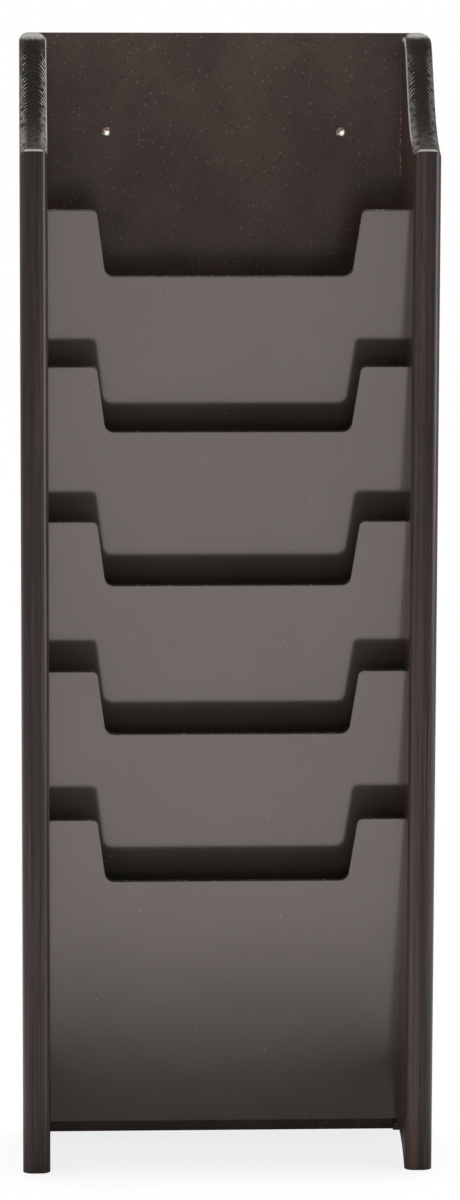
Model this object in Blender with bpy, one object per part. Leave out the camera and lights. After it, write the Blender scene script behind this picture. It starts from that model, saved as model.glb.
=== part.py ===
"""Literature rack: five sloping pockets between two solid wood sides.

Lengths are in metres. +X is to the right, +Y runs back to the wall and +Z is up.
The origin is on the floor, under the middle of the rack.
"""

import math

import bmesh
import bpy
from mathutils import Vector

# Pockets: the inside width takes a letter-size sheet, and the pockets step down the rack.
# The depth is that of a pocket's floor, from behind the front to the back panel.
POCKET_WIDTH = 0.24765
POCKET_DEPTH = 0.0237
POCKET_COUNT = 5
UPPER_PITCH = 0.1069
UPPER_PITCH_COUNT = 2
LOWER_PITCH = 0.10435
HEADROOM = 0.1173
FRONT_CLEARANCE = 0.0147

# Pocket fronts: thin boards, set back from the sides' front edge and leaning out at the top
FRONT_LENGTH = 0.2401
FRONT_THICKNESS = 0.0032
FRONT_SETBACK = 0.020
FRONT_LEAN = math.radians(15.2)
FRONT_EASE = 0.0004
SHOULDER_WIDTH = 0.0334
NOTCH_DEPTH = 0.0479
NOTCH_TAPER = 0.0061
SHOULDER_RADIUS = 0.004
NOTCH_RADIUS = 0.0065

# Pocket floors: a board behind the foot of each front, square to it, that reaches the back panel
FLOOR_THICKNESS = 0.0076
FLOOR_EASE = 0.0005

# Sides
SIDE_THICKNESS = 0.01905
ROUND_OVER = 0.00635
GROOVE_DEPTH = 0.006
COVE_DROP = 0.0752
COVE_RADIUS = 0.0889
COVE_FIRST_SLOPE = math.radians(9.6)
COVE_LAST_SLOPE = math.radians(54)
CROWN_RADIUS = 0.020
TOE_LENGTH = 0.007
ARCH_RISE = 0.0155

# Back panel, let into a rabbet along the rear of each side
BACK_THICKNESS = 0.0032
BACK_LAP = 0.00635
BACK_RECESS = 0.0016
BACK_CLEARANCE = 0.0005
HANGING_HOLE_DIAMETER = 0.0046
HANGING_HOLE_SPACING = 0.164
HANGING_HOLE_DROP = 0.069

# Brads that hold the back panel
BRAD_LENGTH = 0.016
BRAD_DIAMETER = 0.0016
BRAD_HEAD_DIAMETER = 0.0034
BRAD_HEAD_THICKNESS = 0.0008
BRAD_RISE = 0.052
BRAD_TOP_MARGIN = 0.045

# Gaps between pieces that touch
SEAT_GAP = 0.0003
CUT_OVERRUN = 0.004

# Roundness of the curved stretches
CORNER_STEPS = 8
COVE_STEPS = 12
CROWN_STEPS = 8
ARCH_STEPS = 14
ROUND_OVER_STEPS = 6
BRAD_SIDES = 8
HOLE_SIDES = 20

# Sizes that follow from those above
HALF_INSIDE = POCKET_WIDTH / 2
HALF_WIDTH = HALF_INSIDE + SIDE_THICKNESS
FRONT_RUN = FRONT_LENGTH * math.sin(FRONT_LEAN)
FLOOR_START = FRONT_THICKNESS + SEAT_GAP
FLOOR_END = FLOOR_START + POCKET_DEPTH
FLOOR_RUN = FLOOR_END * math.cos(FRONT_LEAN)
RACK_DEPTH = FRONT_SETBACK + FRONT_RUN + FLOOR_RUN + SEAT_GAP + BACK_THICKNESS + BACK_RECESS
FRONT_Y = -RACK_DEPTH / 2
REAR_Y = RACK_DEPTH / 2
UP_SLOPE = Vector((0, -math.sin(FRONT_LEAN), math.cos(FRONT_LEAN)))
BACK_SLOPE = Vector((0, math.cos(FRONT_LEAN), math.sin(FRONT_LEAN)))
PITCHES = [UPPER_PITCH if i < UPPER_PITCH_COUNT else LOWER_PITCH for i in range(POCKET_COUNT - 1)]
TOP_SHOULDER_Z = FRONT_CLEARANCE + FRONT_LENGTH * math.cos(FRONT_LEAN) + sum(PITCHES)
RACK_HEIGHT = TOP_SHOULDER_Z + HEADROOM
BACK_REAR_Y = REAR_Y - BACK_RECESS
BACK_FRONT_Y = BACK_REAR_Y - BACK_THICKNESS
RABBET_Y = BACK_FRONT_Y - SEAT_GAP
SEAT_Y = FRONT_Y + FRONT_SETBACK + FRONT_RUN


def clear_scene():
    for item in list(bpy.data.objects):
        bpy.data.objects.remove(item, do_unlink=True)


def finish_material(name, colour, roughness, metallic=0.0):
    material = bpy.data.materials.new(name)
    material.use_nodes = True
    shader = material.node_tree.nodes["Principled BSDF"]
    shader.inputs["Base Color"].default_value = (*colour, 1.0)
    shader.inputs["Roughness"].default_value = roughness
    shader.inputs["Metallic"].default_value = metallic
    material.diffuse_color = (*colour, 1.0)
    return material


def mesh_from(bm, name):
    bmesh.ops.recalc_face_normals(bm, faces=bm.faces[:])
    mesh = bpy.data.meshes.new(name)
    bm.to_mesh(mesh)
    bm.free()
    return mesh


def add_object(name, mesh, parent, material=None):
    item = bpy.data.objects.new(name, mesh)
    bpy.context.collection.objects.link(item)
    item.parent = parent
    if material is not None:
        item.data.materials.clear()
        item.data.materials.append(material)
    return item


def make_cutter(name, bm, parent):
    cutter = add_object(name, mesh_from(bm, name), parent)
    cutter.hide_render = True
    cutter.display_type = "WIRE"
    return cutter


def cut_away(item, cutter):
    cut = item.modifiers.new(cutter.name, "BOOLEAN")
    cut.operation = "DIFFERENCE"
    cut.solver = "EXACT"
    cut.object = cutter


def arc_points(centre, radius, start, end, steps):
    """Points on an arc about centre, from the angle start to the angle end."""
    angles = [start + (end - start) * i / steps for i in range(steps + 1)]
    return [(centre[0] + radius * math.cos(a), centre[1] + radius * math.sin(a)) for a in angles]


def filleted_outline(corners):
    """A closed 2D outline from (point, radius) corners, with an arc at each corner that has a radius."""
    outline = []
    for i, (point, radius) in enumerate(corners):
        corner = Vector(point)
        if radius == 0:
            outline.append(tuple(corner))
            continue
        before = (Vector(corners[i - 1][0]) - corner).normalized()
        after = (Vector(corners[(i + 1) % len(corners)][0]) - corner).normalized()
        half_angle = before.angle(after) / 2
        centre = corner + (before + after).normalized() * (radius / math.sin(half_angle))
        first = corner + before * (radius / math.tan(half_angle)) - centre
        last = corner + after * (radius / math.tan(half_angle)) - centre
        start = math.atan2(first.y, first.x)
        sweep = math.remainder(math.atan2(last.y, last.x) - start, math.tau)
        outline += arc_points(centre, radius, start, start + sweep, CORNER_STEPS)
    return outline


def extrude_outline(bm, points, direction):
    """A prism in bm: the closed outline of 3D points, extruded along direction."""
    base = bm.faces.new([bm.verts.new(p) for p in points])
    grown = bmesh.ops.extrude_face_region(bm, geom=[base], use_keep_orig=True)["geom"]
    moved = [v for v in grown if isinstance(v, bmesh.types.BMVert)]
    bmesh.ops.translate(bm, vec=direction, verts=moved)


def turned(bm, profile, centre, sides):
    """A solid of revolution about the Y axis through centre, from (radius, y) points on its profile."""
    loop = [bm.verts.new((centre[0] + r, y, centre[1])) for r, y in profile]
    edges = [bm.edges.new(pair) for pair in zip(loop, loop[1:])]
    axis_point = (centre[0], 0, centre[1])
    bmesh.ops.spin(bm, geom=loop + edges, cent=axis_point, axis=(0, 1, 0), angle=math.tau, steps=sides,
                   use_merge=True)
    bmesh.ops.remove_doubles(bm, verts=bm.verts[:], dist=1e-6)


def seat_point(pocket):
    """Where the foot of a pocket's front stands: the front lower edge of the board."""
    shoulder_z = TOP_SHOULDER_Z - sum(PITCHES[:pocket])
    return Vector((0, SEAT_Y, shoulder_z - FRONT_LENGTH * math.cos(FRONT_LEAN)))


def side_outline():
    """Outline of a side in (y, z): toe, arch, heel, rear, crown, cove and front edge."""
    arch_half_span = RACK_DEPTH / 2 - TOE_LENGTH
    arch_radius = (arch_half_span ** 2 + ARCH_RISE ** 2) / (2 * ARCH_RISE)
    arch_half_angle = math.asin(arch_half_span / arch_radius)
    upright = math.pi / 2
    arch = arc_points((0, ARCH_RISE - arch_radius), arch_radius,
                      upright + arch_half_angle, upright - arch_half_angle, ARCH_STEPS)
    lip_z = RACK_HEIGHT - COVE_DROP
    cove_centre = (FRONT_Y - COVE_RADIUS * math.sin(COVE_FIRST_SLOPE),
                   lip_z + COVE_RADIUS * math.cos(COVE_FIRST_SLOPE))
    cove = arc_points(cove_centre, COVE_RADIUS, COVE_FIRST_SLOPE - upright, COVE_LAST_SLOPE - upright,
                      COVE_STEPS)
    crown_foot_z = RACK_HEIGHT - CROWN_RADIUS * (1 - math.cos(COVE_LAST_SLOPE))
    straight_run = (crown_foot_z - cove[-1][1]) / math.tan(COVE_LAST_SLOPE)
    crown_centre = (cove[-1][0] + straight_run + CROWN_RADIUS * math.sin(COVE_LAST_SLOPE),
                    RACK_HEIGHT - CROWN_RADIUS)
    crown = arc_points(crown_centre, CROWN_RADIUS, upright + COVE_LAST_SLOPE, upright, CROWN_STEPS)
    foot = [(FRONT_Y, 0)] + arch + [(REAR_Y, 0)]
    return foot + [(REAR_Y, RACK_HEIGHT)] + crown[::-1] + cove[::-1]


def is_rounded_edge(edge):
    """True for the front and top edges of a side's two faces, which a round-over cutter runs along."""
    a, b = (v.co for v in edge.verts)
    tiny = 1e-6
    across = abs(a.x - b.x) > tiny
    at_rear = min(a.y, b.y) > REAR_Y - tiny
    underneath = max(a.z, b.z) < ARCH_RISE + tiny
    return not (across or at_rear or underneath)


def make_side(name, inner_x, outer_x, parent, material):
    bm = bmesh.new()
    points = [(inner_x, y, z) for y, z in side_outline()]
    extrude_outline(bm, points, (outer_x - inner_x, 0, 0))
    edges = [e for e in bm.edges if is_rounded_edge(e)]
    bmesh.ops.bevel(bm, geom=edges, offset=ROUND_OVER, offset_type="OFFSET", segments=ROUND_OVER_STEPS,
                    profile=0.5, affect="EDGES", material=-1)
    return add_object(name, mesh_from(bm, name), parent, material)


def front_mesh():
    """A pocket front in its own frame: x across, z up the board and y through its thickness."""
    half = HALF_INSIDE + GROOVE_DEPTH - SEAT_GAP
    mouth = HALF_INSIDE - SHOULDER_WIDTH
    notch_foot = mouth - NOTCH_TAPER
    notch_z = FRONT_LENGTH - NOTCH_DEPTH
    right = [((notch_foot, notch_z), NOTCH_RADIUS), ((mouth, FRONT_LENGTH), SHOULDER_RADIUS),
             ((half, FRONT_LENGTH), 0), ((half, 0), 0)]
    left = [((-x, z), radius) for (x, z), radius in reversed(right)]
    bm = bmesh.new()
    points = [(x, 0, z) for x, z in filleted_outline(right + left)]
    extrude_outline(bm, points, (0, FRONT_THICKNESS, 0))
    rims = [e for e in bm.edges if abs(e.verts[0].co.y - e.verts[1].co.y) < FRONT_THICKNESS / 2]
    bmesh.ops.bevel(bm, geom=rims, offset=FRONT_EASE, offset_type="OFFSET", segments=1,
                    profile=0.5, affect="EDGES", material=-1)
    return mesh_from(bm, "pocket_front")


def floor_mesh():
    """A pocket floor in the frame of the front that it lies behind."""
    half = HALF_INSIDE + GROOVE_DEPTH - SEAT_GAP
    bm = bmesh.new()
    outline = [(FLOOR_START, 0), (FLOOR_END, 0), (FLOOR_END, FLOOR_THICKNESS), (FLOOR_START, FLOOR_THICKNESS)]
    extrude_outline(bm, [(-half, y, z) for y, z in outline], (2 * half, 0, 0))
    long_edges = [e for e in bm.edges if abs(e.verts[0].co.x - e.verts[1].co.x) > half]
    bmesh.ops.bevel(bm, geom=long_edges, offset=FLOOR_EASE, offset_type="OFFSET", segments=1,
                    profile=0.5, affect="EDGES", material=-1)
    return mesh_from(bm, "pocket_floor")


def groove_cutter(parent):
    """The sides' grooves: for each pocket an L, of the front and of the floor that runs into the rabbet."""
    reach = HALF_INSIDE + GROOVE_DEPTH
    floor_top = FLOOR_THICKNESS + SEAT_GAP
    floor_end = FLOOR_END + BACK_THICKNESS
    front_top = FRONT_LENGTH + SEAT_GAP
    groove = [(-SEAT_GAP, -SEAT_GAP), (floor_end, -SEAT_GAP), (floor_end, floor_top),
              (FLOOR_START, floor_top), (FLOOR_START, front_top), (-SEAT_GAP, front_top)]
    bm = bmesh.new()
    for pocket in range(POCKET_COUNT):
        corner = seat_point(pocket) - Vector((reach, 0, 0))
        extrude_outline(bm, [corner + BACK_SLOPE * w + UP_SLOPE * u for w, u in groove], (2 * reach, 0, 0))
    return make_cutter("groove_cutter", bm, parent)


def rabbet_cutter(parent):
    """The rabbet along the rear of both sides, where the back panel lies."""
    lap = HALF_INSIDE + BACK_LAP
    far_y = REAR_Y + CUT_OVERRUN
    low = -CUT_OVERRUN
    high = RACK_HEIGHT + CUT_OVERRUN
    outline = [(-lap, RABBET_Y, low), (lap, RABBET_Y, low), (lap, far_y, low), (-lap, far_y, low)]
    bm = bmesh.new()
    extrude_outline(bm, outline, (0, 0, high - low))
    return make_cutter("rabbet_cutter", bm, parent)


def make_back_panel(parent, material):
    half = HALF_INSIDE + BACK_LAP - SEAT_GAP
    outline = [(-half, BACK_CLEARANCE), (half, BACK_CLEARANCE), (half, RACK_HEIGHT), (-half, RACK_HEIGHT)]
    bm = bmesh.new()
    extrude_outline(bm, [(x, BACK_FRONT_Y, z) for x, z in outline], (0, BACK_THICKNESS, 0))
    return add_object("back_panel", mesh_from(bm, "back_panel"), parent, material)


def brad_heights():
    """Heights of the brads up a side: one over each floor's rear edge, one near the top and one between."""
    floor_rise = (UP_SLOPE * FLOOR_THICKNESS + BACK_SLOPE * FLOOR_END).z
    over_floors = [seat_point(pocket).z + floor_rise + BRAD_RISE for pocket in range(POCKET_COUNT)]
    top = RACK_HEIGHT - BRAD_TOP_MARGIN
    between = (over_floors[0] + top) / 2
    return over_floors[::-1] + [between, top]


def brad_x(sign):
    return sign * (HALF_INSIDE + BACK_LAP / 2)


def brad_mesh():
    """A brad along Y: its head on the rear of the back panel and its shank through to the side."""
    head_y = BACK_REAR_Y + SEAT_GAP
    tip_y = head_y - BRAD_LENGTH
    cap_y = head_y + BRAD_HEAD_THICKNESS
    shank = BRAD_DIAMETER / 2
    head = BRAD_HEAD_DIAMETER / 2
    profile = [(0, cap_y), (head, cap_y), (head, head_y), (shank, head_y), (shank, tip_y + BRAD_DIAMETER),
               (0, tip_y)]
    bm = bmesh.new()
    turned(bm, profile, (0, 0), BRAD_SIDES)
    return mesh_from(bm, "back_brad")


def drill_cutter(name, centres, diameter, start_y, end_y, sides, parent):
    bm = bmesh.new()
    radius = diameter / 2
    for centre in centres:
        turned(bm, [(0, start_y), (radius, start_y), (radius, end_y), (0, end_y)], centre, sides)
    return make_cutter(name, bm, parent)


def main():
    clear_scene()
    rack = bpy.data.objects.new("rack", None)
    bpy.context.collection.objects.link(rack)
    wood = finish_material("stained_wood", (0.036, 0.026, 0.022), 0.45)
    board = finish_material("lacquered_board", (0.030, 0.026, 0.024), 0.38)
    hardboard = finish_material("back_hardboard", (0.042, 0.027, 0.021), 0.60)
    floor_wood = finish_material("floor_wood", (0.032, 0.024, 0.021), 0.50)
    steel = finish_material("brad_steel", (0.55, 0.54, 0.52), 0.35, metallic=1.0)

    left = make_side("left_side", -HALF_INSIDE, -HALF_WIDTH, rack, wood)
    right = make_side("right_side", HALF_INSIDE, HALF_WIDTH, rack, wood)
    back = make_back_panel(rack, hardboard)
    brad = brad_mesh()
    for name, sign in (("left", -1), ("right", 1)):
        for i, z in enumerate(brad_heights()):
            piece = add_object(f"back_brad_{name}_{i + 1}", brad, rack, steel)
            piece.location = (brad_x(sign), 0, z)

    front = front_mesh()
    floor = floor_mesh()
    for pocket in range(POCKET_COUNT):
        number = pocket + 1
        for name, mesh, material in (("pocket_front", front, board), ("pocket_floor", floor, floor_wood)):
            piece = add_object(f"{name}_{number}", mesh, rack, material)
            piece.location = seat_point(pocket)
            piece.rotation_euler.x = FRONT_LEAN

    grooves = groove_cutter(rack)
    rabbet = rabbet_cutter(rack)
    brad_centres = [(brad_x(sign), z) for sign in (-1, 1) for z in brad_heights()]
    brad_tip_y = BACK_REAR_Y - BRAD_LENGTH
    brad_holes = drill_cutter("brad_hole_cutter", brad_centres, BRAD_DIAMETER + 2 * SEAT_GAP,
                              REAR_Y + CUT_OVERRUN, brad_tip_y, BRAD_SIDES, rack)
    hanging_z = RACK_HEIGHT - HANGING_HOLE_DROP
    hanging_centres = [(sign * HANGING_HOLE_SPACING / 2, hanging_z) for sign in (-1, 1)]
    hanging_holes = drill_cutter("hanging_hole_cutter", hanging_centres, HANGING_HOLE_DIAMETER,
                                 REAR_Y + CUT_OVERRUN, RABBET_Y - CUT_OVERRUN, HOLE_SIDES, rack)
    for side in (left, right):
        cut_away(side, rabbet)
        cut_away(side, grooves)
        cut_away(side, brad_holes)
    cut_away(back, brad_holes)
    cut_away(back, hanging_holes)


main()
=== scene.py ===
"""Looks of a literature rack: stained sides, lacquered pocket fronts, a hardboard back and its brads.

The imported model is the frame, in metres: +X is to the right, +Y runs back to the wall and +Z is up.
"""

import math
import random

import bmesh
import bpy
from bpy.props import FloatProperty, FloatVectorProperty, IntProperty, PointerProperty
from mathutils import Matrix, Vector


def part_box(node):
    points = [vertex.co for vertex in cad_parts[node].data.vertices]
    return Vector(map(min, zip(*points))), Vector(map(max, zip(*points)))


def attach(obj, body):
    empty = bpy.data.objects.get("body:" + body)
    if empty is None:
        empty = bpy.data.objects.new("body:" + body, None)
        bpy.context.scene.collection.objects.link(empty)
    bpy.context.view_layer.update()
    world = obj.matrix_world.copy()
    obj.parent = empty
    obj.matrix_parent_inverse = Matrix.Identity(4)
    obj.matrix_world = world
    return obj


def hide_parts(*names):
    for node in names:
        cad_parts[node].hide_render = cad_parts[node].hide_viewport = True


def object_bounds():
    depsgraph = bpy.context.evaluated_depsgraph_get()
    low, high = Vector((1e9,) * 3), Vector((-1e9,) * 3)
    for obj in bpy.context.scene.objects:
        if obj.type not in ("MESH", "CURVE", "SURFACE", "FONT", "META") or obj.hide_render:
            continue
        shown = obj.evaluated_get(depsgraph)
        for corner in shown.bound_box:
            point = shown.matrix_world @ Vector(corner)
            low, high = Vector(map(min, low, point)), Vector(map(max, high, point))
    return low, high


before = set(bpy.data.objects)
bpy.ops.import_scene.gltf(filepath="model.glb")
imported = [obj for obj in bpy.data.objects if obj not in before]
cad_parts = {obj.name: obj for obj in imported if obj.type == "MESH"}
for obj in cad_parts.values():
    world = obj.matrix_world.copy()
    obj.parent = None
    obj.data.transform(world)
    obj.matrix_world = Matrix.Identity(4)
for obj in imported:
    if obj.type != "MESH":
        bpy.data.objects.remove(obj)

bl_info = {
    "name": "Literature rack",
    "version": (1, 0, 0),
    "blender": (4, 5, 0),
    "location": "View3D > Sidebar > Rack",
    "description": "Dresses the packed literature rack with wood, lacquer and hardboard, and sets its stage",
    "category": "Object",
}

CAD_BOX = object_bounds()
BODY = "root"

# Places that follow from the frame
RACK_TOP = CAD_BOX[1][2]
FRONT_EDGE_Y = CAD_BOX[0][1]
SIDE_LOW, SIDE_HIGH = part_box("right_side")
SIDE_MIDDLE_X = (SIDE_LOW.x + SIDE_HIGH.x) / 2
PANEL_FACE_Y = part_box("back_panel")[0].y
INSIDE_X = SIDE_LOW.x

# Colours of small marks on the surfaces
WOOD_PORE = (0.006, 0.0045, 0.004)
WOOD_DUST = (0.30, 0.25, 0.22)
LACQUER_DUST = (0.34, 0.32, 0.30)
FLECK_PALE = (0.095, 0.062, 0.050)
FLECK_DARK = (0.022, 0.016, 0.014)
PALE_SPECK = (0.34, 0.28, 0.24)
FRAYED_FIBRE = (0.44, 0.29, 0.20)
# Painted shade at the foot of the back panel
PANEL_FOOT_SHADE = (0.020, 0.015, 0.0135)
STRAND_DARK = (0.10, 0.055, 0.040)
FLOOR_PORE = (0.008, 0.006, 0.005)
WIRE_TARNISH = (0.22, 0.20, 0.18)

# Grain of the sides: scales of the noise in x, y and z, the right board's shift along its grain, and the
# growth rings, whose centre lies in front of the rack
STREAK_SCALE = (260.0, 260.0, 5.0)
BROAD_SCALE = (75.0, 75.0, 1.6)
HAIR_SCALE = (820.0, 820.0, 7.0)
PORE_SCALE = (1500.0, 1500.0, 42.0)
SWAY_SCALE = (120.0, 60.0, 25.0)
# Scale of the ragged edge of the painted highlight on the crowns
CROWN_HIGHLIGHT_FRINGE_SCALE = (2300.0, 60.0, 60.0)
RIGHT_BOARD_SHIFT = 5.3
RING_CENTRE_ACROSS = 0.030
RING_CENTRE_AHEAD = 0.165
RING_WIDTH = 0.0018

# Heights on the back panel: the frayed seam beside the right rabbet, and the foot, which painted shade
# darkens
SEAM_FOOT = (0.684, 0.692)
SEAM_FADE = (0.745, 0.720)
PANEL_FOOT_SHADE_FADE = (0.024, 0.004)

# Meshes: an edge that turns by more than SHARP_TURN stays sharp, and one below FLAT_TURN is dissolved
SHARP_TURN = math.radians(32)
FLAT_TURN = math.radians(0.5)
MERGE_DISTANCE = 1e-6

# How far from a side's lip and from its front edge the lip's own edges lie
LIP_HEIGHT = 0.002
LIP_DEPTH = 0.004

# Brads: the shank's radius as a share of the head's, and the head's thickness
SHANK_SHARE = 0.47
HEAD_THICKNESS = 0.0008

# Torn fibres: the side of a hole where they are long, and their sizes there and elsewhere
TORN_SIDE = math.radians(135)
TORN_LENGTH = (0.0018, 0.0030)
TORN_RADIUS = (0.00030, 0.00055)
TORN_SETBACK = 0.0012
SHORT_LENGTH = (0.0006, 0.0013)
SHORT_RADIUS = (0.00016, 0.00030)
SHORT_SETBACK = 0.0003

# Stage: what the lights aim at, the patch of floor that shows the rack's shadow, and the camera's sensor
RACK_MIDDLE = (0.0, 0.0, 0.4)
FIRST_FRONT = (0.0, 0.0, 0.67)
SHADOW_HALF_WIDTH = 0.13
SHADOW_HALF_DEPTH = 0.05
SHADOW_EDGE = (-0.02, 0.08)
FAR_SHADOW = 0.01
SENSOR_HEIGHT_MM = 36.0
BLACK = (0.0, 0.0, 0.0)
WHITE = (1.0, 1.0, 1.0)


def colour_property(name, description, default):
    return FloatVectorProperty(name=name, description=description, subtype="COLOR", size=3,
                               min=0.0, max=1.0, default=default)


def length_property(name, description, default):
    return FloatProperty(name=name, description=description, unit="LENGTH", subtype="DISTANCE",
                         min=0.0, precision=5, default=default)


def angle_property(name, description, degrees):
    return FloatProperty(name=name, description=description, unit="ROTATION", subtype="ANGLE",
                         default=math.radians(degrees))


def place_property(name, description, default):
    return FloatVectorProperty(name=name, description=description, subtype="TRANSLATION", unit="LENGTH",
                               size=3, default=default)


def level_property(name, description, default):
    return FloatProperty(name=name, description=description, subtype="FACTOR", min=0.0, max=1.0,
                         default=default)


class RackFinish(bpy.types.PropertyGroup):
    """Colours and small sizes of the rack's own surfaces."""

    stain: colour_property("Stain", "Dark espresso stain of the sides", (0.0176, 0.0132, 0.0113))
    stain_streak: colour_property("Stain streak", "Redder wood that shows through the stain",
                                  (0.066, 0.038, 0.029))
    end_grain: colour_property("End grain", "Stain soaked into the end grain of the cove",
                               (0.0115, 0.0098, 0.0090))
    # Pale colour of the growth lines, which also paints the highlights on the coves' rounded edges, inner
    # corners, lips and crowns
    burnished_and_highlight: colour_property("Burnished lines", "Pale growth lines where the cutter burnished the cove",
                               (0.62, 0.59, 0.54))
    lacquer: colour_property("Lacquer", "Brown-black lacquer of the pocket fronts", (0.0370, 0.0305, 0.0240))
    lacquer_sheen: colour_property("Lacquer sheen", "Tint of what the lacquer mirrors", (1.0, 0.875, 0.835))
    cut_edge: colour_property("Cut edge", "Dull stained edge of a pocket front", (0.034, 0.029, 0.025))
    hardboard: colour_property("Hardboard", "Stained hardboard of the back panel", (0.062, 0.0430, 0.0350))
    fibre: colour_property("Fibre", "Orange-brown fibres of the hardboard", (0.30, 0.15, 0.085))
    torn_fibre: colour_property("Torn fibre", "Pale torn fibres round the hanging holes", (0.62, 0.55, 0.50))
    floor_stain: colour_property("Floor stain", "Stain of the pocket floors", (0.030, 0.024, 0.021))
    wire: colour_property("Wire", "Bright steel wire of the brads", (0.55, 0.54, 0.52))
    edge_break: length_property("Edge break", "Width of the sanded edge of a board", 0.0003)
    cove_drop: length_property("Cove drop", "From the top of a side down to the lip of its cove", 0.0752)
    hole_spacing: length_property("Hole spacing", "Distance between the hanging holes", 0.164)
    hole_drop: length_property("Hole drop", "From the top of the rack down to the hanging holes", 0.069)
    hole_diameter: length_property("Hole diameter", "Diameter of a hanging hole", 0.0046)
    hole_fibres: IntProperty(name="Hole fibres", description="Torn fibres round a hanging hole", min=6,
                             max=120, default=72)
    brad_sides: IntProperty(name="Brad sides", description="Facets round a brad", min=8, max=64, default=24)


class RackStage(bpy.types.PropertyGroup):
    """Camera, lights and floor."""

    camera_place: place_property("Camera place", "Where the camera stands", (-0.1460, -3.2572, 0.8977))
    camera_pitch: angle_property("Camera pitch", "How far the camera looks down", 8.763)
    camera_yaw: angle_property("Camera yaw", "How far the camera turns to the right", 2.614)
    camera_roll: angle_property("Camera roll", "How far the camera tilts to its left", 0.180)
    camera_lens: FloatProperty(name="Lens", description="Focal length on a 36 mm high sensor, in millimetres",
                               min=1.0, default=141.95)
    floor_reach: length_property("Floor reach", "How far the floor runs out from the rack", 40.0)
    floor_colour: colour_property("Floor", "Pale floor", (0.86, 0.86, 0.86))
    ambient: level_property("Ambient", "Level of the even light from all round", 0.48)
    shadow: level_property("Shadow", "How much of the floor's white the rack's shadow takes away", 0.20)
    overhead_power: FloatProperty(name="Overhead power", description="Power of the softbox above, in watts",
                                  min=0.0, default=89.0)
    overhead_width: length_property("Overhead width", "Width of the softbox above", 1.1)
    overhead_depth: length_property("Overhead depth", "Depth of the softbox above", 0.7)
    overhead_place: place_property("Overhead place", "Where the softbox above hangs", (0.05, 0.36, 3.2))
    fill_power: FloatProperty(name="Fill power", description="Power of the low light in front, in watts",
                              min=0.0, default=18.0)
    fill_size: length_property("Fill size", "Width and height of the low light in front", 0.5)
    fill_place: place_property("Fill place", "Where the low light in front stands", (0.0, -3.0, 0.08))
    side_power: FloatProperty(name="Side power", description="Power of the softbox on the right, in watts",
                              min=0.0, default=15.0)
    side_size: length_property("Side size", "Width and height of the softbox on the right", 1.2)
    side_place: place_property("Side place", "Where the softbox on the right stands", (2.2, -0.6, 0.48))


class Value:
    """A socket of a node tree; arithmetic on it adds Math nodes."""

    def __init__(self, graph, socket):
        self.graph = graph
        self.socket = socket

    def other(self, name):
        """Another output of the same node."""
        return Value(self.graph, self.socket.node.outputs[name])

    def math(self, operation, first, second=0.0):
        return self.graph.node("ShaderNodeMath", {"operation": operation}, {0: first, 1: second})

    def __add__(self, number):
        return self.math("ADD", self, number)

    def __radd__(self, number):
        return self.math("ADD", number, self)

    def __sub__(self, number):
        return self.math("SUBTRACT", self, number)

    def __rsub__(self, number):
        return self.math("SUBTRACT", number, self)

    def __mul__(self, number):
        return self.math("MULTIPLY", self, number)

    def __rmul__(self, number):
        return self.math("MULTIPLY", number, self)

    def __pow__(self, number):
        return self.math("POWER", self, number)

    def __abs__(self):
        return self.math("ABSOLUTE", self)

    def sine(self):
        return self.math("SINE", self)

    def larger(self, number):
        return self.math("MAXIMUM", self, number)

    def smaller(self, number):
        return self.math("MINIMUM", self, number)

    def ramp(self, low, high, start=0.0, end=1.0):
        """Goes smoothly from start to end as this value goes from low to high."""
        sockets = {"Value": self, "From Min": low, "From Max": high, "To Min": start, "To Max": end}
        return self.graph.node("ShaderNodeMapRange", {"interpolation_type": "SMOOTHSTEP"}, sockets)


class Graph:
    """A node tree that is built from its inputs to its output."""

    def __init__(self, tree):
        self.tree = tree
        tree.nodes.clear()

    def node(self, kind, settings=None, sockets=None, output=0):
        """Adds a node: its settings first, then the values or links of its sockets. Returns one output."""
        made = self.tree.nodes.new(kind)
        for name, setting in (settings or {}).items():
            setattr(made, name, setting)
        for key, given in (sockets or {}).items():
            socket = made.inputs[key]
            if isinstance(given, Value):
                self.tree.links.new(given.socket, socket)
            else:
                socket.default_value = given
        return Value(self, made.outputs[output]) if len(made.outputs) else None

    def place(self):
        """Object coordinates, which are the frame's own metres."""
        return self.node("ShaderNodeTexCoord", output="Object")

    def facing(self):
        """The surface's own direction, without any bump."""
        return self.node("ShaderNodeTexCoord", output="Normal")

    def parts(self, vector):
        """The x, y and z of a vector."""
        split = self.node("ShaderNodeSeparateXYZ", None, {0: vector})
        return split, split.other("Y"), split.other("Z")

    def joined(self, x, y, z):
        return self.node("ShaderNodeCombineXYZ", None, {0: x, 1: y, 2: z})

    def stretched(self, vector, scale, shift=(0.0, 0.0, 0.0)):
        return self.node("ShaderNodeMapping", None, {"Vector": vector, "Location": shift, "Scale": scale})

    def noise(self, vector, scale, detail, roughness=0.5):
        return self.node("ShaderNodeTexNoise", None, {"Vector": vector, "Scale": scale, "Detail": detail,
                                                      "Roughness": roughness})

    def cells(self, vector, scale):
        """Distance to the nearest of many scattered points."""
        return self.node("ShaderNodeTexVoronoi", None, {"Vector": vector, "Scale": scale})

    def mix(self, mask, first, second):
        """Colour: first where the mask is 0 and second where it is 1."""
        settings = {"data_type": "RGBA", "blend_type": "MIX", "clamp_factor": True}
        return self.node("ShaderNodeMix", settings, {0: mask, 6: solid(first), 7: solid(second)}, output=2)

    def bump(self, height, distance, strength):
        return self.node("ShaderNodeBump", None, {"Height": height, "Distance": distance,
                                                  "Strength": strength})

    def surface(self, sockets):
        """A principled shader with these sockets, as the material's surface."""
        shader = self.node("ShaderNodeBsdfPrincipled", None, sockets)
        self.node("ShaderNodeOutputMaterial", None, {"Surface": shader})


def solid(colour):
    """A colour as a node takes it: with its alpha, unless it is a link."""
    return colour if isinstance(colour, Value) else (*colour, 1.0)


def new_material(name):
    material = bpy.data.materials.new(name)
    material.use_nodes = True
    return material, Graph(material.node_tree)


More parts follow.
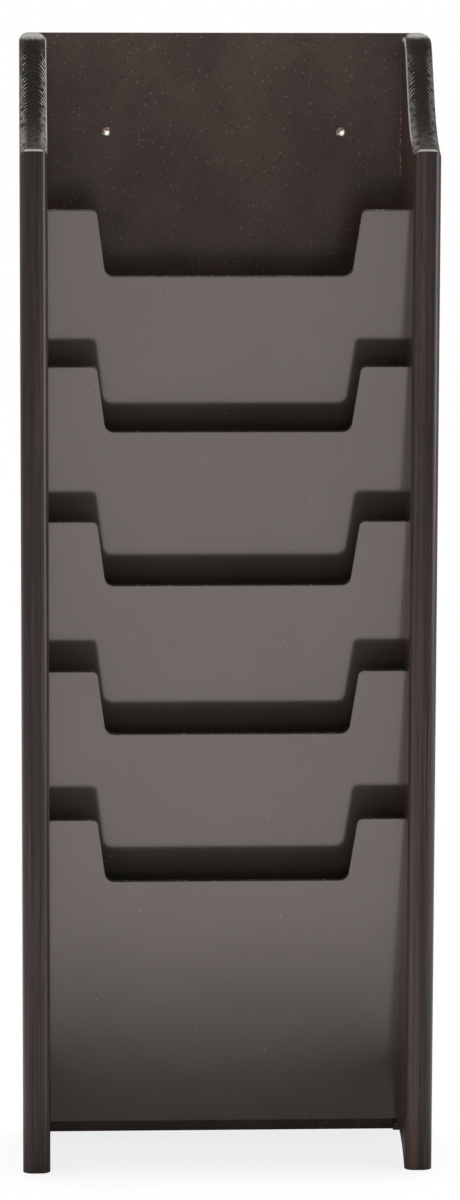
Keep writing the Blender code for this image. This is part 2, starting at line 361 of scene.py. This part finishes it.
def specks(graph, place, spacing, radius, share):
    """Mask of tiny round specks: a share of the cells of that spacing holds one."""
    cell = graph.cells(place, 1.0 / spacing)
    chosen = graph.parts(cell.other("Color"))[0].ramp(1.0 - share, 1.0 - share + 0.001)
    return cell.ramp(radius / spacing, 0.6 * radius / spacing) * chosen


def stained_wood(finish):
    """Open-pored hardwood along Z under an espresso stain and a satin topcoat."""
    material, graph = new_material("stained_wood_grain")
    place = graph.place()
    x, y, z = graph.parts(place)
    lip_z = RACK_TOP - finish.cove_drop
    off_middle = abs(x) - SIDE_MIDDLE_X
    on_right = x.ramp(-0.001, 0.001)
    board = graph.joined(off_middle, y, z + on_right * RIGHT_BOARD_SHIFT)
    streak = graph.noise(graph.stretched(board, STREAK_SCALE), 1.0, 4.0, 0.6)
    broad = graph.noise(graph.stretched(board, BROAD_SCALE), 1.0, 3.0, 0.55)
    hair = graph.noise(graph.stretched(board, HAIR_SCALE), 1.0, 3.0, 0.6)
    pore = graph.noise(graph.stretched(board, PORE_SCALE), 1.0, 2.0).ramp(0.56, 0.70)
    pale_run = on_right * off_middle.ramp(0.0010, -0.0030)
    colour = graph.mix(streak.ramp(0.44, 0.70) * 0.45 + broad.ramp(0.46, 0.70) * 0.30 + pale_run * 0.45,
                       finish.stain, finish.stain_streak)
    colour = graph.mix(hair.ramp(0.52, 0.70) * 0.65, colour, [1.5 * c for c in finish.stain_streak])
    colour = graph.mix(hair.ramp(0.46, 0.32) * 0.6 + pore * 0.4, colour, WOOD_PORE)

    # End grain: growth lines across the board, made pale on the rounded edges and near the lip as a painted
    # highlight, less so on the right side
    facing = graph.parts(graph.facing())
    upward = abs(facing[2])
    forward = facing[1].ramp(-0.04, -0.25)
    end_grain = upward.ramp(0.10, 0.35)
    sway = graph.noise(graph.stretched(board, SWAY_SCALE), 1.0, 3.0) - 0.5
    across = abs(off_middle) + RING_CENTRE_ACROSS
    along = y + RING_CENTRE_AHEAD
    ring_radius = (across * across + along * along) ** 0.5 + sway * 0.0024
    ring = (ring_radius * (math.tau / RING_WIDTH)).sine() * 0.5 + 0.5
    patchy = graph.noise(board, 260.0, 3.0, 0.6).ramp(0.34, 0.58)
    below_crown = z.ramp(RACK_TOP - 0.007, RACK_TOP - 0.022, 0.15, 1.0)
    growth_line_highlight = ring.ramp(0.60, 0.92) * patchy * end_grain * below_crown
    rounded = abs(off_middle).ramp(0.0032, 0.0085)
    near_lip = z.ramp(lip_z + 0.018, lip_z + 0.003)
    colour = graph.mix(end_grain * 0.85, colour, finish.end_grain)
    colour = graph.mix(growth_line_highlight * (rounded * (0.80 - on_right * 0.25) + near_lip * 0.10 + 0.015), colour,
                       finish.burnished_and_highlight)
    # Painted highlight: a pale line along the inner corner at the top of each cove
    inner_corner = (abs(x) - INSIDE_X).ramp(0.0014, 0.0004)
    arris_highlight = inner_corner * upward.ramp(0.03, 0.20) * z.ramp(lip_z, lip_z + 0.008)
    colour = graph.mix(arris_highlight * 0.65, colour, finish.burnished_and_highlight)

    # Crown and lip: a painted highlight in a pale tint on the front of each crown and along each lip, and a
    # full coat
    highlight_fringe = graph.noise(graph.stretched(board, CROWN_HIGHLIGHT_FRINGE_SCALE), 1.0, 3.0) - 0.5
    crown_highlight = (z + highlight_fringe * 0.006 - on_right * 0.0011).ramp(RACK_TOP - 0.0045, RACK_TOP - 0.0023)
    colour = graph.mix(crown_highlight * forward * 0.30, colour, finish.burnished_and_highlight)
    dust = specks(graph, place, 0.009, 0.00040, 0.5)
    colour = graph.mix(dust * 0.6, colour, WOOD_DUST)
    # Painted highlight: a thin pale line along the lip at the foot of each cove
    lip = abs(z - lip_z).ramp(0.0010, 0.0004) * y.ramp(FRONT_EDGE_Y + 0.004, FRONT_EDGE_Y + 0.002)
    colour = graph.mix(lip * 0.4, colour, finish.burnished_and_highlight)
    polished = (crown_highlight + lip).smaller(1.0)

    # The coat is thinner on the flats that face straight ahead
    rubbed = abs(facing[1]).ramp(0.985, 0.90, 0.45, 0.72)
    height = streak * 0.25 - pore * 0.6 + graph.noise(place, 900.0, 2.0) * 0.12
    graph.surface({
        "Base Color": colour,
        "Roughness": 0.42 + end_grain * 0.25 + pore * 0.08,
        "Specular IOR Level": 0.06,
        "Coat Weight": ((0.95 - end_grain * 0.94 + polished * 0.90).smaller(1.0) - pore * 0.1)
                       * z.ramp(0.0, 0.06, 0.65, 1.0) * rubbed,
        "Coat Roughness": 0.24,
        "Coat IOR": 1.5,
        "Normal": graph.bump(height, 0.00006, 0.6),
    })
    return material


def front_lacquer(finish):
    """Smooth board under a satin brown-black lacquer with a little dust in it."""
    material, graph = new_material("front_lacquer")
    place = graph.place()
    cloud = graph.noise(place, 14.0, 3.0)
    fine = graph.noise(place, 420.0, 3.0)
    dust = specks(graph, place, 0.010, 0.00045, 0.2)
    thin_edge = abs(graph.parts(graph.facing())[1]).ramp(0.93, 0.80)
    chips = thin_edge * graph.noise(place, 700.0, 2.0).ramp(0.60, 0.68)
    colour = graph.mix(cloud.ramp(0.30, 0.72), finish.lacquer, [c * 1.2 for c in finish.lacquer])
    colour = graph.mix(dust * 0.8, colour, LACQUER_DUST)
    lacquered = graph.node("ShaderNodeBsdfPrincipled", None, {
        "Base Color": colour,
        "Roughness": 0.105 + cloud * 0.03 + fine * 0.02 + dust * 0.3,
        "IOR": 1.6,
        "Specular IOR Level": 1.0,
        "Specular Tint": solid(finish.lacquer_sheen),
        "Coat Weight": 0.3,
        "Coat Roughness": 0.55,
        "Normal": graph.bump(fine * 0.4 + dust, 0.000010, 0.12),
    })
    cut_edge = graph.node("ShaderNodeBsdfPrincipled", None, {
        "Base Color": graph.mix(chips * 0.7, finish.cut_edge, LACQUER_DUST),
        "Roughness": 0.70 + fine * 0.2,
        "Specular IOR Level": 0.1,
    })
    both = graph.node("ShaderNodeMixShader", None, {0: thin_edge, 1: lacquered, 2: cut_edge})
    graph.node("ShaderNodeOutputMaterial", None, {"Surface": both})
    return material


def back_hardboard(finish):
    """Stained hardboard with a low sheen and fine fibre flecks."""
    material, graph = new_material("back_hardboard_flecks")
    place = graph.place()
    x, y, z = graph.parts(place)
    cloud = graph.noise(graph.stretched(place, (22.0, 22.0, 18.0)), 1.0, 4.0, 0.6)
    fleck = graph.noise(place, 620.0, 3.0, 0.6)
    colour = graph.mix(cloud.ramp(0.32, 0.68), [c * 0.86 for c in finish.hardboard],
                       [c * 1.25 for c in finish.hardboard])
    colour = graph.mix(fleck.ramp(0.52, 0.72) * 0.35, colour, FLECK_PALE)
    colour = graph.mix(fleck.ramp(0.46, 0.30) * 0.45, colour, FLECK_DARK)
    orange = specks(graph, place, 0.0048, 0.00062, 0.7)
    pale = specks(graph, graph.stretched(place, (1.0, 1.0, 1.0), (0.3, 0.2, 0.1)), 0.0055, 0.00060, 0.8)
    colour = graph.mix(orange * 0.7, colour, finish.fibre)
    colour = graph.mix(pale * 0.45, colour, PALE_SPECK)

    # Bare fibres beside the right rabbet, where the stain broke away
    front_face = y.ramp(PANEL_FACE_Y + 0.0012, PANEL_FACE_Y + 0.0006)
    seam = front_face * x.ramp(INSIDE_X - 0.0013, INSIDE_X - 0.0004)
    seam = seam * z.ramp(*SEAM_FOOT) * z.ramp(*SEAM_FADE, 0.2, 1.0)
    frayed = graph.noise(place, 480.0, 2.0).ramp(0.46, 0.60)
    colour = graph.mix(seam * frayed * 0.75, colour, FRAYED_FIBRE)
    # Painted shade: the foot of the panel, under the lowest pocket, darker towards the floor
    colour = graph.mix(z.ramp(*PANEL_FOOT_SHADE_FADE) * 0.25, colour, PANEL_FOOT_SHADE)
    graph.surface({
        "Base Color": colour,
        "Roughness": 0.52 - front_face * 0.37 + fleck * 0.05,
        "Specular IOR Level": 0.25,
        "Normal": graph.bump(fleck, 0.00002, 0.3),
    })
    return material


def torn_fibre(finish):
    """Torn hardboard fibres: orange-brown, and paler in tufts and in the lower half of the hole."""
    material, graph = new_material("torn_fibre")
    place = graph.place()
    strand = graph.noise(place, 1300.0, 3.0, 0.6)
    tuft = graph.noise(place, 330.0, 2.0)
    hole_z = RACK_TOP - finish.hole_drop
    below = graph.parts(place)[2].ramp(hole_z, hole_z - 0.002)
    colour = graph.mix(tuft.ramp(0.45, 0.65) * 0.6 + below * 0.7, finish.fibre, finish.torn_fibre)
    colour = graph.mix(strand.ramp(0.55, 0.75) * 0.5, colour, STRAND_DARK)
    graph.surface({
        "Base Color": colour,
        "Roughness": 0.80 + strand * 0.1,
        "Specular IOR Level": 0.2,
        "Normal": graph.bump(strand, 0.00006, 0.6),
    })
    return material


def floor_board(finish):
    """Stained wood with its grain along X, for the pocket floors."""
    material, graph = new_material("floor_board_grain")
    place = graph.place()
    streak = graph.noise(graph.stretched(place, (5.0, 260.0, 260.0)), 1.0, 4.0, 0.6)
    pore = graph.noise(graph.stretched(place, (40.0, 1500.0, 1500.0)), 1.0, 2.0).ramp(0.56, 0.70)
    colour = graph.mix(streak.ramp(0.40, 0.72), finish.floor_stain, [c * 1.7 for c in finish.floor_stain])
    colour = graph.mix(pore * 0.5, colour, FLOOR_PORE)
    graph.surface({
        "Base Color": colour,
        "Roughness": 0.40 + pore * 0.15,
        "Specular IOR Level": 0.5,
        "Coat Weight": 0.3,
        "Coat Roughness": 0.3,
        "Normal": graph.bump(streak * 0.3 - pore, 0.00005, 0.6),
    })
    return material


def brad_wire(finish):
    """Drawn steel wire with faint turning marks."""
    material, graph = new_material("brad_wire_steel")
    place = graph.place()
    scuff = graph.noise(graph.stretched(place, (2600.0, 300.0, 2600.0)), 1.0, 3.0)
    tarnish = graph.noise(place, 700.0, 3.0).ramp(0.50, 0.75)
    colour = graph.mix(tarnish * 0.5, finish.wire, WIRE_TARNISH)
    graph.surface({
        "Base Color": colour,
        "Metallic": 1.0,
        "Roughness": 0.26 + scuff * 0.22,
        "Normal": graph.bump(scuff, 0.00002, 0.5),
    })
    return material


def merged_copy(node):
    """A CAD node's mesh with its loose triangles joined into whole faces."""
    bm = bmesh.new()
    bm.from_mesh(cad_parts[node].data)
    bmesh.ops.remove_doubles(bm, verts=bm.verts[:], dist=MERGE_DISTANCE)
    bmesh.ops.dissolve_limit(bm, angle_limit=FLAT_TURN, verts=bm.verts[:], edges=bm.edges[:])
    return bm


def dress(node, bm, material, edge_break=0.0):
    """Makes bm a smooth-shaded piece that stands for a CAD node, and sands its edges if they have a break."""
    for face in bm.faces:
        face.smooth = True
    for edge in bm.edges:
        edge.smooth = edge.calc_face_angle(0.0) < SHARP_TURN
    piece = add_piece(node + "_dressed", bm, material)
    if edge_break > 0:
        sanded = piece.modifiers.new("sanded_edges", "BEVEL")
        sanded.width = edge_break
        sanded.segments = 2
        sanded.limit_method = "ANGLE"
        sanded.angle_limit = SHARP_TURN
    even = piece.modifiers.new("even_shading", "WEIGHTED_NORMAL")
    even.keep_sharp = True
    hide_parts(node)


def add_piece(name, bm, material):
    """Makes bm an object that rides on the rack's body."""
    mesh = bpy.data.meshes.new(name)
    bm.to_mesh(mesh)
    bm.free()
    mesh.materials.append(material)
    piece = bpy.data.objects.new(name, mesh)
    bpy.context.scene.collection.objects.link(piece)
    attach(piece, BODY)
    return piece


def nodes_named(start):
    """The CAD nodes whose names begin so, in order."""
    found = sorted(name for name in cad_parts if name.startswith(start))
    if not found:
        raise RuntimeError(f"The frame has no node named {start}")
    return found


def soften_lip(bm, finish):
    """Rounds the sharp lip at the foot of a side's cove a little."""
    lip_z = RACK_TOP - finish.cove_drop
    lip = []
    for edge in bm.edges:
        sharp = edge.calc_face_angle(0.0) > SHARP_TURN
        near = all(abs(v.co.z - lip_z) < LIP_HEIGHT and v.co.y < FRONT_EDGE_Y + LIP_DEPTH
                   for v in edge.verts)
        if sharp and near:
            lip.append(edge)
    if not lip:
        raise RuntimeError("A side has no lip where its cove begins")
    bmesh.ops.bevel(bm, geom=lip, offset=2 * finish.edge_break, offset_type="OFFSET", segments=3,
                    profile=0.5, affect="EDGES", material=-1)


def round_brad(node, finish, material):
    """A round wire brad with a domed head and a point, in place of a faceted one."""
    low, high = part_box(node)
    centre = (low + high) / 2
    head = (high.x - low.x) / 2
    shank = SHANK_SHARE * head
    cap, tip = high.y, low.y
    under = cap - HEAD_THICKNESS
    profile = [(0.0, cap), (0.55 * head, cap - 0.00004), (0.90 * head, cap - 0.00016), (head, cap - 0.00034),
               (head, under + 0.0001), (0.93 * head, under), (shank + 0.0002, under), (shank, under - 0.0003),
               (shank, tip + 0.0016), (0.3 * shank, tip + 0.0003), (0.0, tip)]
    bm = bmesh.new()
    rim = [bm.verts.new((centre.x + radius, y, centre.z)) for radius, y in profile]
    lines = [bm.edges.new(pair) for pair in zip(rim, rim[1:])]
    bmesh.ops.spin(bm, geom=rim + lines, cent=(centre.x, 0.0, centre.z), axis=(0.0, 1.0, 0.0),
                   angle=math.tau, steps=finish.brad_sides, use_merge=True)
    bmesh.ops.remove_doubles(bm, verts=bm.verts[:], dist=1e-7)
    bmesh.ops.recalc_face_normals(bm, faces=bm.faces[:])
    dress(node, bm, material)


def fibre_ring(name, centre, finish, material, seed):
    """Torn fibres round a hanging hole: thin tapered strands that reach in over its rim."""
    pick = random.Random(seed)
    bm = bmesh.new()
    for i in range(finish.hole_fibres):
        turn = math.tau * (i + pick.uniform(-0.4, 0.4)) / finish.hole_fibres
        outward = Vector((math.cos(turn), 0.0, math.sin(turn)))
        torn = math.cos(turn - TORN_SIDE) > 0.2
        length = pick.uniform(*(TORN_LENGTH if torn else SHORT_LENGTH))
        radius = pick.uniform(*(TORN_RADIUS if torn else SHORT_RADIUS))
        lean = pick.uniform(0.02, 0.30)
        slew = pick.uniform(-0.5, 0.5)
        inward = (Matrix.Rotation(slew, 3, "Y") @ -outward) * math.cos(lean)
        direction = inward + Vector((0.0, -math.sin(lean), 0.0))
        setback = TORN_SETBACK if torn else SHORT_SETBACK
        root = centre + outward * (finish.hole_diameter / 2 + setback)
        stand = Vector((0.0, 0.0, 1.0)).rotation_difference(direction).to_matrix().to_4x4()
        middle = Matrix.Translation(root + direction * (length / 2))
        bmesh.ops.create_cone(bm, cap_ends=True, segments=5, radius1=radius, radius2=0.3 * radius,
                              depth=length, matrix=middle @ stand)
    for face in bm.faces:
        face.smooth = True
    add_piece(name, bm, material)


class RACK_OT_sides(bpy.types.Operator):
    """Dress the two sides in stained wood"""

    bl_idname = "rack.sides"
    bl_label = "Sides"

    def execute(self, context):
        finish = context.scene.rack_finish
        material = stained_wood(finish)
        for node in ("left_side", "right_side"):
            bm = merged_copy(node)
            soften_lip(bm, finish)
            dress(node, bm, material)
        return {"FINISHED"}


class RACK_OT_back_panel(bpy.types.Operator):
    """Dress the back panel in hardboard"""

    bl_idname = "rack.back_panel"
    bl_label = "Back panel"

    def execute(self, context):
        finish = context.scene.rack_finish
        dress("back_panel", merged_copy("back_panel"), back_hardboard(finish))
        return {"FINISHED"}


class RACK_OT_hole_fibres(bpy.types.Operator):
    """Tear up the fibres round the two hanging holes"""

    bl_idname = "rack.hole_fibres"
    bl_label = "Hole fibres"

    def execute(self, context):
        finish = context.scene.rack_finish
        material = torn_fibre(finish)
        for seed, (name, sign) in enumerate((("left", -1), ("right", 1))):
            centre = Vector((sign * finish.hole_spacing / 2, PANEL_FACE_Y, RACK_TOP - finish.hole_drop))
            fibre_ring("hole_fibres_" + name, centre, finish, material, seed)
        return {"FINISHED"}


class RACK_OT_pocket_fronts(bpy.types.Operator):
    """Dress the pocket fronts in satin lacquer"""

    bl_idname = "rack.pocket_fronts"
    bl_label = "Pocket fronts"

    def execute(self, context):
        finish = context.scene.rack_finish
        material = front_lacquer(finish)
        for node in nodes_named("pocket_front"):
            dress(node, merged_copy(node), material, finish.edge_break)
        return {"FINISHED"}


class RACK_OT_pocket_floors(bpy.types.Operator):
    """Dress the pocket floors in stained wood"""

    bl_idname = "rack.pocket_floors"
    bl_label = "Pocket floors"

    def execute(self, context):
        finish = context.scene.rack_finish
        material = floor_board(finish)
        for node in nodes_named("pocket_floor"):
            dress(node, merged_copy(node), material, finish.edge_break)
        return {"FINISHED"}


class RACK_OT_brads(bpy.types.Operator):
    """Put round brads in place of the faceted ones"""

    bl_idname = "rack.brads"
    bl_label = "Brads"

    def execute(self, context):
        finish = context.scene.rack_finish
        material = brad_wire(finish)
        for node in nodes_named("back_brad"):
            round_brad(node, finish, material)
        return {"FINISHED"}


def stage_floor(stage):
    """A pale floor that is white to the camera where nothing shades it."""
    bm = bmesh.new()
    bmesh.ops.create_grid(bm, x_segments=2, y_segments=2, size=stage.floor_reach)
    mesh = bpy.data.meshes.new("stage_floor")
    bm.to_mesh(mesh)
    bm.free()
    material, graph = new_material("stage_floor_white")
    seen = graph.node("ShaderNodeLightPath", output="Is Camera Ray")
    x, y = graph.parts(graph.place())[:2]
    beside = (abs(x) - SHADOW_HALF_WIDTH).larger(abs(y) - SHADOW_HALF_DEPTH)
    shaded = beside.ramp(*SHADOW_EDGE, stage.shadow, FAR_SHADOW)
    level = seen * shaded + (1.0 - seen) * stage.floor_colour[0]
    paint = graph.node("ShaderNodeBsdfDiffuse", None, {"Color": graph.mix(level, BLACK, WHITE)})
    glow = graph.node("ShaderNodeEmission", None, {"Color": solid(WHITE), "Strength": seen * (1.0 - shaded)})
    both = graph.node("ShaderNodeAddShader", None, {0: paint, 1: glow})
    graph.node("ShaderNodeOutputMaterial", None, {"Surface": both})
    mesh.materials.append(material)
    floor = bpy.data.objects.new("stage_floor", mesh)
    bpy.context.scene.collection.objects.link(floor)


def stage_world(stage):
    """White to the camera, in mirrors and through clear things, and an even light all round."""
    world = bpy.data.worlds.new("studio")
    world.use_nodes = True
    bpy.context.scene.world = world
    graph = Graph(world.node_tree)
    light_path = graph.node("ShaderNodeLightPath")
    seen = light_path.other("Is Camera Ray").larger(light_path.other("Is Glossy Ray"))
    seen = seen.larger(light_path.other("Is Transmission Ray"))
    level = seen + (1.0 - seen) * stage.ambient
    background = graph.node("ShaderNodeBackground", None, {"Color": solid(WHITE), "Strength": level})
    graph.node("ShaderNodeOutputWorld", None, {"Surface": background})


def softbox(name, place, target, width, depth, power):
    """A rectangular light that faces a target and doesn't show itself to the camera."""
    light = bpy.data.lights.new(name, "AREA")
    light.shape = "RECTANGLE"
    light.size = width
    light.size_y = depth
    light.energy = power
    lamp = bpy.data.objects.new(name, light)
    lamp.location = place
    lamp.rotation_euler = (Vector(target) - Vector(place)).to_track_quat("-Z", "Y").to_euler()
    lamp.visible_camera = False
    bpy.context.scene.collection.objects.link(lamp)
    return lamp


def stage_camera(stage):
    """The camera at the photograph's viewing angle."""
    data = bpy.data.cameras.new("camera")
    data.sensor_fit = "VERTICAL"
    data.sensor_height = SENSOR_HEIGHT_MM
    data.lens = stage.camera_lens
    camera = bpy.data.objects.new("camera", data)
    turn = Matrix.Rotation(-stage.camera_yaw, 4, "Z")
    nod = Matrix.Rotation(math.pi / 2 - stage.camera_pitch, 4, "X")
    tilt = Matrix.Rotation(stage.camera_roll, 4, "Z")
    camera.matrix_world = Matrix.Translation(stage.camera_place) @ turn @ nod @ tilt
    bpy.context.scene.collection.objects.link(camera)
    bpy.context.scene.camera = camera


class RACK_OT_stage(bpy.types.Operator):
    """Set the floor, the lights and the camera"""

    bl_idname = "rack.stage"
    bl_label = "Stage"

    def execute(self, context):
        stage = context.scene.rack_stage
        context.scene.view_settings.view_transform = "Standard"
        stage_floor(stage)
        stage_world(stage)
        stage_camera(stage)
        overhead = softbox("overhead_softbox", stage.overhead_place, RACK_MIDDLE, stage.overhead_width,
                           stage.overhead_depth, stage.overhead_power)
        overhead.visible_glossy = False
        fill = softbox("fill_softbox", stage.fill_place, FIRST_FRONT, stage.fill_size, stage.fill_size,
                       stage.fill_power)
        fill.visible_glossy = False
        softbox("side_softbox", stage.side_place, RACK_MIDDLE, stage.side_size, stage.side_size,
                stage.side_power)
        return {"FINISHED"}


STEPS = (RACK_OT_sides, RACK_OT_back_panel, RACK_OT_hole_fibres, RACK_OT_pocket_fronts,
         RACK_OT_pocket_floors, RACK_OT_brads, RACK_OT_stage)


class RACK_PT_sidebar(bpy.types.Panel):
    """Lists the steps that dress the rack"""

    bl_idname = "RACK_PT_sidebar"
    bl_label = "Literature rack"
    bl_space_type = "VIEW_3D"
    bl_region_type = "UI"
    bl_category = "Rack"

    def draw(self, context):
        for step in STEPS:
            self.layout.operator(step.bl_idname)


CLASSES = (RackFinish, RackStage, *STEPS, RACK_PT_sidebar)


def register():
    for item in CLASSES:
        bpy.utils.register_class(item)
    bpy.types.Scene.rack_finish = PointerProperty(type=RackFinish)
    bpy.types.Scene.rack_stage = PointerProperty(type=RackStage)


def unregister():
    del bpy.types.Scene.rack_stage
    del bpy.types.Scene.rack_finish
    for item in reversed(CLASSES):
        bpy.utils.unregister_class(item)


def main():
    register()
    bpy.ops.rack.sides()
    bpy.ops.rack.back_panel()
    bpy.ops.rack.hole_fibres()
    bpy.ops.rack.pocket_fronts()
    bpy.ops.rack.pocket_floors()
    bpy.ops.rack.brads()
    bpy.ops.rack.stage()


if __name__ == "__main__":
    main()
